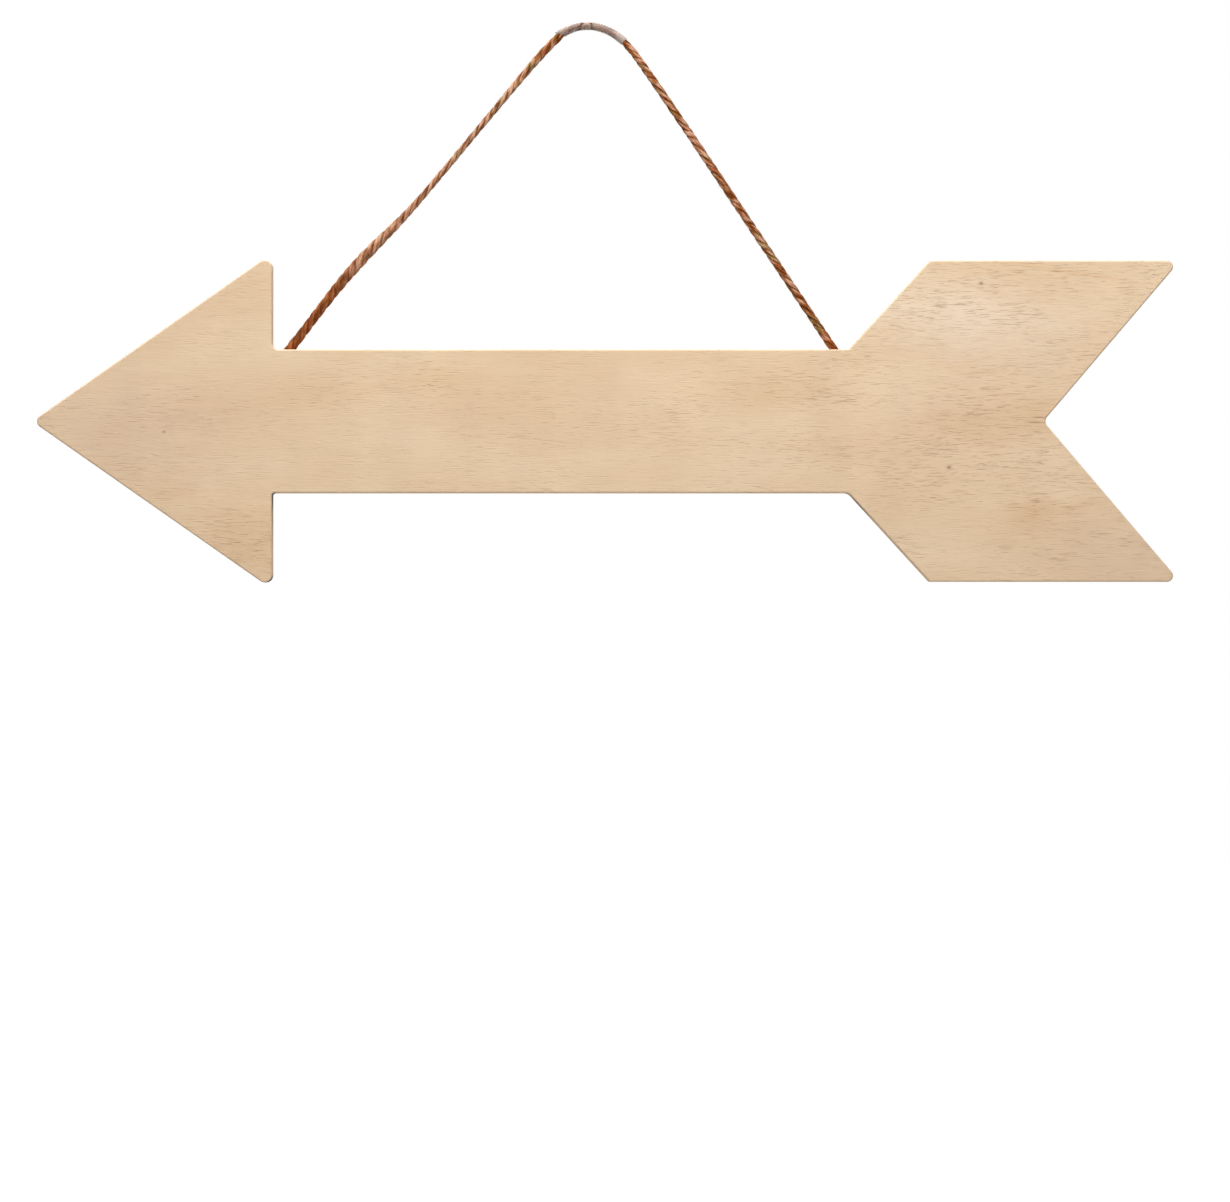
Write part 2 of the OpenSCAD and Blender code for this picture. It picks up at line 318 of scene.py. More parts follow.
def between(a, b, c, d, t):
    """A smooth line through four stations, at share t between the middle two."""
    return tuple(
        0.5 * (
            2 * q + (r - p) * t + (2 * p - 5 * q + 4 * r - s) * t * t
            + (3 * q - p - 3 * r + s) * t ** 3
        )
        for p, q, r, s in zip(a, b, c, d)
    )


def twine_line(step, first=0, last=len(ROUTE) - 1):
    """Stations along the route from its point first to its point last, about a step apart."""
    stations = [station(point) for point in ROUTE]
    line = []
    for i in range(first, last):
        a, b = stations[max(i - 1, 0)], stations[i]
        c, d = stations[i + 1], stations[min(i + 2, len(stations) - 1)]
        count = max(1, round(math.dist(b[:3], c[:3]) / step))
        line += [between(a, b, c, d, k / count) for k in range(count)]
    return line + [stations[last]]


def ramp(value, start, run):
    """Goes from 0 to 1 as a value goes from start over a run."""
    return min(max((value - start) / run, 0), 1)


class TwineSettings(bpy.types.PropertyGroup):
    """Sizes and colours of the jute twine."""

    strands: bpy.props.IntProperty(
        name="Strands", description="Yarns laid round each other", default=3, min=2, max=5
    )
    lay: a_length("Lay", "Length in which a yarn goes once round the twine", 12.0 * MM)
    bulk: bpy.props.FloatProperty(
        name="Bulk", description="Width over the yarns as a share of the pressed twine's",
        default=1.2, min=1, max=1.5,
    )
    ring_step: a_length("Ring step", "Distance between the rings of a yarn's surface", 0.36 * MM)
    sides: bpy.props.IntProperty(
        name="Sides", description="Sides of a yarn's surface", default=18, min=6, max=32
    )
    ridge: a_length("Ridge", "Height of the bundles of fibre on a yarn", 0.05 * MM)
    stray: bpy.props.FloatProperty(
        name="Stray fibres", description="Loose fibres to a square millimetre of yarn",
        default=0.2, min=0,
    )
    straw: a_colour("Straw", "Colour of the palest fibres", "#E4B798")
    rust: a_colour("Rust", "Main colour of the fibres", "#924D1E")
    olive: a_colour("Olive", "Colour of the greener stretches", "#8A6B38")
    bark: a_colour("Bark", "Colour of the darkest fibres", "#451A05")
    stain: a_colour("Stain", "What the lower end of the left leg is darkened with", "#CDA57B")
    fluff: a_colour("Fluff", "Tint of the sheen of the finest fibres", "#EEBE94")


class TapeSettings(bpy.types.PropertyGroup):
    """Sizes and colours of the tape round the top of the loop."""

    slack: a_length("Slack", "Most that the film stands off the twine, except at its ends", 0.06 * MM)
    crease: a_length("Crease", "Depth of the creases where the loop was nipped", 0.14 * MM)
    milk: a_colour("Milk", "Colour of the tape where it stands off the twine", "#CFC0B6")
    # The smoke colour is also painted shade in the tape's creases and fold
    smoke: a_colour("Smoke", "Colour of the tape where it is pressed on the twine", "#5F392C")


class WoodSettings(bpy.types.PropertyGroup):
    """Sizes and colours of the plywood."""

    plies: bpy.props.IntProperty(
        name="Plies", description="Veneers glued together", default=5, min=3, max=9
    )
    pore_length: a_length("Pore length", "Length of a pore in the face veneer", 4.2 * MM)
    pore_width: a_length("Pore width", "Width of a pore in the face veneer", 0.25 * MM)
    cream: a_colour("Cream", "Paler colour of the veneer", "#E7CCAA")
    biscuit: a_colour("Biscuit", "Main colour of the veneer", "#E0C29F")
    honey: a_colour("Honey", "Colour of the veneer's warm streaks", "#D8AC80")
    # Blush is pinker than the veneer, and darker as painted shade where the light falls off at the
    # tips
    blush: a_colour("Blush", "Pinkish tone of the tips and the tail", "#D0AE98")
    milk: a_colour("Milk", "Palest tone of the veneer, over the tail", "#EFDCC6")
    pore: a_colour("Pore", "Colour of the pores", "#A87D56")
    knot: a_colour("Knot", "Colour of the pin knots", "#7A5237")
    # Painted shade on the cut edge, by the lower corners and tips
    edge_shade: a_colour("Edge shade", "Colour of the cut edge where it is shaded", "#2E2114")
    glue: a_colour("Glue", "Colour of the glue lines between the plies", "#9A7450")


class StapleSettings(bpy.types.PropertyGroup):
    """Colours of the staples."""

    zinc: a_colour("Zinc", "Colour of the zinc coat", "#C9CACC")


class StageSettings(bpy.types.PropertyGroup):
    """The camera, the lamps and the floor."""

    distance: a_length("Distance", "Distance of the camera from the board's front", 1.2, 0.1)
    floor_drop: a_length("Floor drop", "Distance of the floor below the nail", 0.6, 0.25)
    ambient: bpy.props.FloatProperty(
        name="Ambient", description="Strength of the light from all round", default=0.15
    )
    key: a_power("Key", "Power of the lamp over the front", 6.1)
    top: a_power("Top", "Power of the lamp over the top edges", 3.6)
    back: a_power("Back", "Power of the lamp over the back", 7.2)


def jute_material(settings):
    """Jute yarn, spun from coarse brown fibre: matt and streaked along its fibres."""
    material, tree, node = new_material("spun_brown_jute")
    # The yarn's own coordinates, in millimetres: round it in X and Y, along it in Z
    fibre = node("ShaderNodeAttribute", {"attribute_name": "fibre"}, output="Vector")
    # Single fibres are finer than this. They are drawn 0.3 mm wide, so that they show.
    streaks = mottle(tree, fibre, (1 / 0.3, 1 / 0.3, 1 / 3.0), 2.0)
    # Bundles of fibre of one tone, about 0.7 mm wide and 4 mm long
    bundles = mottle(tree, fibre, (1 / 0.7, 1 / 0.7, 1 / 4.0), 2.0)
    light = node(MATH, "MULTIPLY_ADD", (bundles, 2.0, streaks))
    dark = node(MATH, "MULTIPLY_ADD", (bundles, 1.5, streaks))
    # The yarn drifts between rust and olive, over lengths of about 7 mm
    drift = mottle(tree, fibre, (1 / 2.5, 1 / 2.5, 1 / 7.0), 1.0)
    place = node("ShaderNodeTexCoord", output="Object")
    across = node(SPLIT, None, {0: place}, "X")
    colour = (*settings.rust, 1)
    # The third row paints the left leg paler than the right one: painted light, standing in for the
    # light that falls on it from the upper left
    for tone, value, start, end, most in (
        (settings.olive, drift, 0.50, 0.68, 1.0),
        (settings.straw, light, 1.34, 1.90, 0.75),
        (settings.straw, across, -12 * MM, -34 * MM, 0.22),
        (settings.bark, dark, 1.20, 0.85, 0.8),
    ):
        colour, _ = tone_over(tree, colour, tone, value, start, end, most)
    # The grooves between the yarns are painted dark with the bark colour: painted shade
    groove = node("ShaderNodeAttribute", {"attribute_name": "groove"}, output="Fac")
    colour = node(MIX, IN_COLOUR, {0: groove, 6: colour, 7: (*settings.bark, 1)}, 2)
    # The lower end of the left leg is darker and redder
    low_end = node(MAP_RANGE, SMOOTH, (across, -78 * MM, -92 * MM))
    colour = node(MIX, {**IN_COLOUR, "blend_type": "MULTIPLY"}, {
        0: low_end, 6: colour, 7: (*settings.stain, 1),
    }, 2)
    bump = node("ShaderNodeBump", None, {"Height": streaks, "Strength": 0.6, "Distance": 0.1 * MM})
    add_surface(tree, {
        "Base Color": colour, "Normal": bump, "Roughness": 0.86, "IOR": 1.5,
        "Specular IOR Level": 0.0, "Sheen Weight": 0.35, "Sheen Roughness": 0.5,
        "Sheen Tint": (*settings.fluff, 1),
    })
    return material


def fuzz_material(settings):
    """Single jute fibres that stand off the yarn: paler than it, and matt."""
    material, tree, node = new_material("loose_jute_fibre")
    tone = node("ShaderNodeAttribute", {"attribute_name": "tone"}, output="Fac")
    colour = node(MIX, IN_COLOUR, {0: tone, 6: (*settings.rust, 1), 7: (*settings.straw, 1)}, 2)
    add_surface(tree, {
        "Base Color": colour, "Roughness": 0.8, "IOR": 1.5, "Specular IOR Level": 0.3,
    })
    return material


def laid_twine_tree():
    """Yarns laid round each other along a line, each with ridges of fibre on it."""
    tree, given, node = new_geometry_tree("Laid twine", [
        ("Strands", "Int", 3),
        ("Lay", "Float", 12.0 * MM),
        ("Ring Step", "Float", 0.36 * MM),
        ("Sides", "Int", 18),
        ("Ridge", "Float", 0.05 * MM),
        ("Material", "Material", None),
    ])
    # A yarn's radius and its distance from the middle, as shares of the twine's radius
    yarn_share = 0.70
    middle_share = 0.30
    # Fibres go round the yarn once in this length, the same way as the yarns' own lay
    spin = 40 * MM
    # The lay wanders by this share of a turn over this length
    wander, wander_length = 0.55, 14 * MM
    # A yarn swells by this share, from its thinnest one, over this length
    swell_by, thinnest, swell_length = 0.30, 0.85, 5 * MM
    # Radius of a yarn in its own coordinates, and the shift between two yarns, in millimetres
    own_radius, yarn_shift = 0.6, 700.0
    # Distances from the twine's middle, as shares of its width, where a groove starts and is full
    groove_from, groove_full = 0.465, 0.41

    curve = node("GeometryNodeMeshToCurve", None, {0: given["Geometry"]})
    curve = node("GeometryNodeResampleCurve", {"mode": "LENGTH"}, {
        "Curve": curve, "Length": given["Ring Step"],
    })
    kept = node("GeometryNodeCaptureAttribute").node
    tree.links.new(curve, kept.inputs["Geometry"])
    for kind, label, value in (
        ("FLOAT", "Along", node("GeometryNodeSplineParameter", output="Length")),
        ("VECTOR", "Middle", node("GeometryNodeInputPosition")),
        ("VECTOR", "Heading", node("GeometryNodeInputTangent")),
    ):
        kept.capture_items.new(kind, label)
        tree.links.new(value, kept.inputs[label])
    along, middle, heading = (kept.outputs[label] for label in ("Along", "Middle", "Heading"))

    copies = node("GeometryNodeDuplicateElements", {"domain": "SPLINE"}, {
        "Geometry": kept.outputs["Geometry"], "Amount": given["Strands"],
    }).node
    yarns = node("GeometryNodeCaptureAttribute", {"domain": "CURVE"}).node
    yarns.capture_items.new("INT", "Yarn")
    tree.links.new(copies.outputs["Geometry"], yarns.inputs["Geometry"])
    tree.links.new(copies.outputs["Duplicate Index"], yarns.inputs["Yarn"])
    yarn = yarns.outputs["Yarn"]
    thickness, flatness = (
        node("GeometryNodeInputNamedAttribute", None, {"Name": label})
        for label in ("thickness", "flatness")
    )

    # The lay isn't quite even, as in all twine of this kind
    unrest = node(NOISE, {"noise_dimensions": "1D"}, {
        "W": along, "Scale": 1 / wander_length, "Detail": 1.0,
    })
    turns = node(MATH, "DIVIDE", (along, given["Lay"]))
    turns = node(MATH, "MULTIPLY_ADD", (unrest, wander, turns))
    share = node(MATH, "DIVIDE", (yarn, given["Strands"]))
    turns = node(MATH, "ADD", (turns, share))
    angle = node(MATH, "MULTIPLY", (turns, math.tau))
    side = node(VECTOR_MATH, "CROSS_PRODUCT", (heading, (0, 1, 0)))
    out = node(VECTOR_MATH, "SCALE", {0: side, "Scale": node(MATH, "COSINE", {0: angle})})
    back = node(JOIN, None, {"Y": node(MATH, "SINE", {0: angle})})
    offset = node(VECTOR_MATH, "SCALE", {
        0: node(VECTOR_MATH, "ADD", (out, back)),
        "Scale": node(MATH, "MULTIPLY", (thickness, middle_share / 2)),
    })
    laid = node(MOVE, None, {"Geometry": yarns.outputs["Geometry"], "Offset": offset})

    section = node("GeometryNodeCaptureAttribute").node
    section.capture_items.new("FLOAT", "Round")
    circle = node("GeometryNodeCurvePrimitiveCircle", None, {
        "Resolution": given["Sides"], "Radius": 1.0,
    })
    tree.links.new(circle, section.inputs["Geometry"])
    tree.links.new(node("GeometryNodeSplineParameter"), section.inputs["Round"])
    # Each yarn swells and thins a little along its length
    swell = node(NOISE, {"noise_dimensions": "4D"}, {
        "Vector": middle, "W": yarn, "Scale": 1 / swell_length, "Detail": 1.0,
    })
    swell = node(MATH, "MULTIPLY_ADD", (swell, swell_by, thinnest))
    radius = node(MATH, "MULTIPLY", (thickness, yarn_share / 2))
    mesh = node("GeometryNodeCurveToMesh", None, {
        "Curve": laid, "Profile Curve": section.outputs["Geometry"],
        "Scale": node(MATH, "MULTIPLY", (swell, radius)), "Fill Caps": True,
    })

    # Where a point lies on its yarn, in millimetres, with the spin of the fibres taken out
    spun = node(MATH, "DIVIDE", (along, spin))
    around = node(MATH, "ADD", (section.outputs["Round"], spun))
    around = node(MATH, "MULTIPLY", (around, math.tau))
    lengthwise = node(MATH, "MULTIPLY", (along, 1 / MM))
    fibre = node(JOIN, None, (
        node(MATH, "COSINE", {0: around}),
        node(MATH, "SINE", {0: around}),
        node(MATH, "MULTIPLY_ADD", (yarn, yarn_shift, lengthwise)),
    ))
    fibre = node(VECTOR_MATH, "MULTIPLY", (fibre, (own_radius, own_radius, 1)))
    for label, value in (("fibre", fibre), ("heading", heading)):
        mesh = node(STORE, OF_VECTORS, {"Geometry": mesh, "Name": label, "Value": value})

    # Bundles of fibre, 0.45 mm wide and 5 mm long, stand out as ridges along the yarn
    ridges = node(NOISE, None, {
        "Vector": node(VECTOR_MATH, "MULTIPLY", (fibre, (1 / 0.45, 1 / 0.45, 1 / 5.0))),
        "Scale": 1.0, "Detail": 2.0,
    })
    ridges = node(MATH, "SUBTRACT", (ridges, 0.5))
    ridges = node(MATH, "MULTIPLY", (ridges, given["Ridge"]))
    raised = node(VECTOR_MATH, "SCALE", {0: node("GeometryNodeInputNormal"), "Scale": ridges})
    mesh = node(MOVE, None, {"Geometry": mesh, "Offset": raised})

    # How deep a point lies between the yarns: 0 on a crest and 1 near the twine's middle. The jute
    # material paints shade by it.
    place = node("GeometryNodeInputPosition")
    depth = node(VECTOR_MATH, "DISTANCE", (place, middle), "Value")
    depth = node(MATH, "DIVIDE", (depth, thickness))
    depth = node(MAP_RANGE, None, (depth, groove_from, groove_full))
    mesh = node(STORE, None, {"Geometry": mesh, "Name": "groove", "Value": depth})

    # The staples press the twine flat on the board
    flat = node(VECTOR_MATH, "SUBTRACT", (place, middle))
    squeeze = node(JOIN, None, (1.0, flatness, 1.0))
    flat = node(VECTOR_MATH, "MULTIPLY_ADD", (flat, squeeze, middle))
    mesh = node(MOVE, None, {"Geometry": mesh, "Position": flat})
    mesh = node("GeometryNodeSetShadeSmooth", None, {"Geometry": mesh})
    end_geometry_tree(tree, mesh, given["Material"])
    return tree


def stray_fibre_tree():
    """Loose fibres that stand off a yarn's surface and lean along it."""
    tree, given, node = new_geometry_tree("Stray fibres", [
        ("Density", "Float", 1e5),
        ("Length", "Float", 1.6 * MM),
        ("Radius", "Float", 0.026 * MM),
        ("Seed", "Int", 7),
        ("Material", "Material", None),
    ])
    # None stands out of the tape, which covers the top of the loop
    tape_foot = -4.5 * MM
    height = node(SPLIT, None, {0: node("GeometryNodeInputPosition")}, "Z")
    bare = node("FunctionNodeCompare", "LESS_THAN", (height, tape_foot))
    roots = node("GeometryNodeDistributePointsOnFaces", None, {
        "Mesh": given["Geometry"], "Selection": bare, "Density": given["Density"],
        "Seed": given["Seed"],
    }).node.outputs
    # How much of a fibre's way is out of the yarn, along it at most, and at random at most
    outward, lengthwise, random = 0.55, 1.6, 0.7
    along, size, tone = (
        node("FunctionNodeRandomValue", None, {2: lowest, 3: highest, "Seed": given["Seed"]}, 1)
        for lowest, highest in ((-lengthwise, lengthwise), (0.35, 1.0), (0.1, 1.0))
    )
    heading = node("GeometryNodeInputNamedAttribute", OF_VECTORS, {"Name": "heading"})
    lean = node(VECTOR_MATH, "SCALE", {0: heading, "Scale": along})
    stray = node("FunctionNodeRandomValue", OF_VECTORS, {
        0: (-random,) * 3, 1: (random,) * 3, "Seed": given["Seed"],
    })
    way = node(VECTOR_MATH, "SCALE", {0: roots["Normal"], "Scale": outward})
    for push in (lean, stray):
        way = node(VECTOR_MATH, "ADD", (way, push))
    # A fibre bends over sideways. It is drawn at a length of 1.
    hair = node("GeometryNodeCurvePrimitiveBezierSegment", None, {
        "Resolution": 5, "Start": (0, 0, 0), "Start Handle": (0, 0, 0.4),
        "End Handle": (0.12, 0, 0.75), "End": (0.42, 0.06, 1.0),
    })
    hairs = node("GeometryNodeInstanceOnPoints", None, {
        "Points": roots["Points"], "Instance": hair,
        "Rotation": node("FunctionNodeAlignRotationToVector", {"axis": "Z"}, {"Vector": way}),
        "Scale": node(MATH, "MULTIPLY", (size, given["Length"])),
    })
    hairs = node(STORE, {"domain": "INSTANCE"}, {"Geometry": hairs, "Name": "tone", "Value": tone})
    hairs = node("GeometryNodeRealizeInstances", None, {"Geometry": hairs})
    # A fibre thins out to its tip
    taper = node(MAP_RANGE, None, {
        "Value": node("GeometryNodeSplineParameter"), "To Min": 1.0, "To Max": 0.35,
    })
    section = node("GeometryNodeCurvePrimitiveCircle", None, {"Resolution": 3, "Radius": 1.0})
    mesh = node("GeometryNodeCurveToMesh", None, {
        "Curve": hairs, "Profile Curve": section, "Fill Caps": True,
        "Scale": node(MATH, "MULTIPLY", (taper, given["Radius"])),
    })
    end_geometry_tree(tree, mesh, given["Material"])
    return tree


class SIGN_OT_stage(bpy.types.Operator):
    """Set up the camera, the lamps, the world and the floor"""

    bl_idname = "sign.make_stage"
    bl_label = "Stage"

    def execute(self, context):
        settings = context.scene.sign_stage
        board_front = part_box("board")[0][1]
        lens = bpy.data.cameras.new("camera")
        lens.sensor_fit = "HORIZONTAL"
        lens.sensor_width = SENSOR
        lens.lens = SENSOR * settings.distance / (PHOTO_SIZE[0] * PHOTO_PIXEL)
        camera = bpy.data.objects.new("camera", lens)
        camera.location = (PHOTO_MIDDLE[0], board_front - settings.distance, PHOTO_MIDDLE[1])
        camera.rotation_euler = (math.radians(90), 0, 0)
        context.collection.objects.link(camera)
        context.scene.camera = camera

        context.scene.view_settings.view_transform = "Standard"
        self.make_world(context.scene, settings.ambient)
        self.make_floor(settings.floor_drop)
        for name, place, size in LAMPS:
            self.make_lamp(name + "_lamp", Vector(place), size, getattr(settings, name))
        return {"FINISHED"}

    def make_lamp(self, name, place, size, power):
        """A square lamp that faces the board."""
        light = bpy.data.lights.new(name, "AREA")
        light.size = size
        light.energy = power
        lamp = bpy.data.objects.new(name, light)
        lamp.location = place
        lamp.rotation_euler = (Vector(BOARD_MIDDLE) - place).to_track_quat("-Z", "Y").to_euler()
        bpy.context.collection.objects.link(lamp)

    def make_world(self, scene, ambient):
        """Soft light from all round, with a white background for the eye and for gloss."""
        world = bpy.data.worlds.new("studio")
        world.use_nodes = True
        scene.world = world
        world.node_tree.nodes.clear()
        node = partial(add_node, world.node_tree)
        rays = node("ShaderNodeLightPath").node.outputs
        seen = rays["Is Camera Ray"]
        for ray in ("Is Glossy Ray", "Is Transmission Ray"):
            seen = node(MATH, "MAXIMUM", (seen, rays[ray]))
        strength = node(MAP_RANGE, None, (seen, 0.0, 1.0, ambient, 1.0))
        light = node("ShaderNodeBackground", None, {"Color": (1, 1, 1, 1), "Strength": strength})
        node("ShaderNodeOutputWorld", None, {"Surface": light})

    def make_floor(self, drop):
        """A matt floor that the eye sees as white, except for the sign's soft shadow."""
        reach = 4.0
        sides = 64
        floor = new_piece("floor", [
            (reach * math.cos(a), reach * math.sin(a), -drop)
            for a in (math.tau * k / sides for k in range(sides))
        ], [range(sides)])
        material, _, node = new_material("painted_floor")
        seen = node("ShaderNodeLightPath", output="Is Camera Ray")
        paint = node("ShaderNodeBsdfDiffuse", None, {"Color": (0.8, 0.8, 0.8, 1)})
        # To the eye most of the floor's light is its own, and the rest carries the shadow
        own_light, own_share = 1.35, 0.75
        white = node("ShaderNodeEmission", None, {"Color": (1, 1, 1, 1), "Strength": own_light})
        share = node(MATH, "MULTIPLY", (seen, own_share))
        mixed = node("ShaderNodeMixShader", None, (share, paint, white))
        node("ShaderNodeOutputMaterial", None, {"Surface": mixed})
        floor.data.materials.append(material)


class SIGN_OT_twine(bpy.types.Operator):
    """Lay the yarns of the twine along its route, with their stray fibres"""

    bl_idname = "sign.make_twine"
    bl_label = "Twine"

    def execute(self, context):
        settings = context.scene.sign_twine
        line = twine_line(LINE_STEP)
        twine = new_piece(
            "jute_twine", [p[:3] for p in line],
            edges=[(i, i + 1) for i in range(len(line) - 1)],
        )
        thickness, flatness = [], []
        for point in line:
            spread = self.spread(point[0], settings.bulk)
            thickness.append(point[3] * spread)
            # Near and behind the board's edge the yarns spread along the board but not off it
            behind = ramp(-point[2], -EDGE_TOP - 8 * MM, 6 * MM)
            flatness.append(point[4] * (1 - behind + behind / spread))
        for name, values in (("thickness", thickness), ("flatness", flatness)):
            layer = twine.data.attributes.new(name, "FLOAT", "POINT")
            layer.data.foreach_set("value", values)
        apply_tree(twine, laid_twine_tree(), {
            "Strands": settings.strands, "Lay": settings.lay, "Ring Step": settings.ring_step,
            "Sides": settings.sides, "Ridge": settings.ridge,
            "Material": jute_material(settings),
        })

        fuzz = bpy.data.objects.new("twine_fuzz", twine.data.copy())
        context.collection.objects.link(fuzz)
        apply_tree(fuzz, stray_fibre_tree(), {
            "Density": settings.stray / MM ** 2, "Material": fuzz_material(settings),
        })
        for piece in (twine, fuzz):
            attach(piece, "root")
        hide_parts("twine")
        return {"FINISHED"}

    def spread(self, across, bulk):
        """How far the yarns stand out at a place across: not at all under the tape."""
        first, last = ROUTE[TAPE_FROM][0], ROUTE[TAPE_TO][0]
        bare = ramp(max(first - across, across - last), 0, 1.5 * MM)
        return TAPED_BULK + (bulk - TAPED_BULK) * bare


class SIGN_OT_tape(bpy.types.Operator):
    """Wrap the top of the loop in creased, milky tape"""

    bl_idname = "sign.make_tape"
    bl_label = "Tape wrap"

    def execute(self, context):
        settings = context.scene.sign_tape
        ring_step = 0.22 * MM
        sides = 28
        line = twine_line(ring_step, TAPE_FROM, TAPE_TO)
        points, pressed = [], []
        for inward in (0, TAPE_T):
            for i, (x, y, z, thickness, _) in enumerate(line):
                before, after = line[max(i - 1, 0)], line[min(i + 1, len(line) - 1)]
                heading = math.atan2(after[2] - before[2], after[0] - before[0])
                for k in range(sides):
                    turn = math.tau * k / sides
                    press = self.press(x / MM, turn)
                    pressed.append(press)
                    radius = thickness / 2 + TAPE_FIT + TAPE_T - inward
                    radius += settings.slack * self.slack(x, turn) - settings.crease * press
                    out, back = radius * math.cos(turn), radius * math.sin(turn)
                    along = self.lean(x, turn)
                    points.append((
                        x - out * math.sin(heading) + along * math.cos(heading),
                        y + back,
                        z + out * math.cos(heading) + along * math.sin(heading),
                    ))
        tape = new_piece("tape_sleeve", points, self.sleeve_faces(len(line), sides))
        tape.data.polygons.foreach_set("use_smooth", [True] * len(tape.data.polygons))
        tape.data.attributes.new("press", "FLOAT", "POINT").data.foreach_set("value", pressed)
        tape.data.materials.append(self.tape_material(settings))
        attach(tape, "root")
        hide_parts("tape_wrap")

        line = [p[:3] for p in twine_line(LINE_STEP)]
        return {"FINISHED"}

    def sleeve_faces(self, rings, sides):
        """Faces of a sleeve, whose outside and then inside are rings of points."""
        faces = []
        inner = rings * sides
        last = (rings - 1) * sides
        for base, step in ((0, 1), (inner, -1)):
            for i in range(rings - 1):
                for k in range(sides):
                    n = (k + 1) % sides
                    a, b = base + i * sides, base + (i + 1) * sides
                    faces.append([a + k, b + k, b + n, a + n][::step])
        for k in range(sides):
            n = (k + 1) % sides
            faces.append([inner + k, k, n, inner + n])
            faces.append([last + k, inner + last + k, inner + last + n, last + n])
        return faces

    def slack(self, x, turn):
        """How far the film stands off the twine: 0 to 1, more in its lap, and most at its left."""
        place = Vector((x * 200, math.cos(turn) * 0.8, math.sin(turn) * 0.8))
        lap = 0.7 if LAP[0] < x < LAP[1] else 0
        gape = ramp(-x, 5.5 * MM, 3.5 * MM) * max(math.cos(turn), 0)
        return 0.5 + 0.5 * noise.noise(place) + lap + 8 * gape

    def lean(self, x, turn):
        """How far the film is pulled along the twine: its left end is cut aslant."""
        return -ramp(-x, 6.0 * MM, 3.6 * MM) * (0.5 + 1.1 * math.cos(turn)) * MM

    def press(self, x, turn):
        """How hard the film is nipped onto the twine, up to 1, at a place in millimetres."""
        height = math.cos(turn)
        patchy = 0.75 + 0.9 * noise.noise(Vector((x * 0.9, height * 1.6, math.sin(turn))))
        total = 0
        for middle, slant, width, depth in CREASES:
            off = (x - middle - slant * height) / width
            total += depth * patchy * math.exp(-off * off)
        # A fold runs along the front from the left end to the first crease, painted darker as shade
        fold_from, fold_to = -9, -2.5
        if math.sin(turn) < 0 and fold_from < x < fold_to:
            off = (height + 0.55 - 0.12 * (x + 8)) / 0.22
            total += 0.8 * math.exp(-off * off) * ramp(x, fold_from, 2)
        return min(total, 1)

    def tape_material(self, settings):
        """Adhesive tape of thin plastic film: milky, and dark where it is wetted to the twine, with
        painted shade in its creases and its fold.
        """
        material, tree, node = new_material("milky_adhesive_tape")
        place = node("ShaderNodeTexCoord", output="Object")
        press = node("ShaderNodeAttribute", {"attribute_name": "press"}, output="Fac")
        # The glue has taken hold in smears about 3 mm long and 0.8 mm high
        smears = mottle(tree, place, per_mm(3.0, 1.2, 0.8), 3.0, distortion=0.4)
        smears = node(MAP_RANGE, SMOOTH, (smears, 0.42, 0.70, 0.0, 0.6))
        held = node(MATH, "MAXIMUM", (press, smears))
        # Doubled film at the right end is whiter and hides more
        across = node(SPLIT, None, {0: place}, "X")
        single = node(MAP_RANGE, None, (across, 10.0 * MM, 9.4 * MM))
        held = node(MATH, "MULTIPLY", (held, single))
        # The film is painted dark where it is held: where glue wetted it to the twine, and as painted
        # shade in the creases and the fold
        colour = node(MIX, IN_COLOUR, {0: held, 6: (*settings.milk, 1), 7: (*settings.smoke, 1)}, 2)
        cover = node(MAP_RANGE, None, (held, 0.0, 1.0, 0.17, 0.52))
        cover = node(MIX, None, {0: single, 2: 0.42, 3: cover})
        # The eye looks through more film where it is seen at a low angle
        low_angle = node("ShaderNodeLayerWeight", None, {"Blend": 0.35}, "Facing")
        cover = node(MATH, {"operation": "ADD", "use_clamp": True}, (
            cover, node(MATH, "MULTIPLY", (low_angle, 0.5)),
        ))
        add_surface(tree, {
            "Base Color": colour, "Alpha": cover, "Roughness": 0.42, "IOR": 1.48,
            "Specular IOR Level": 0.3,
        })
        return material


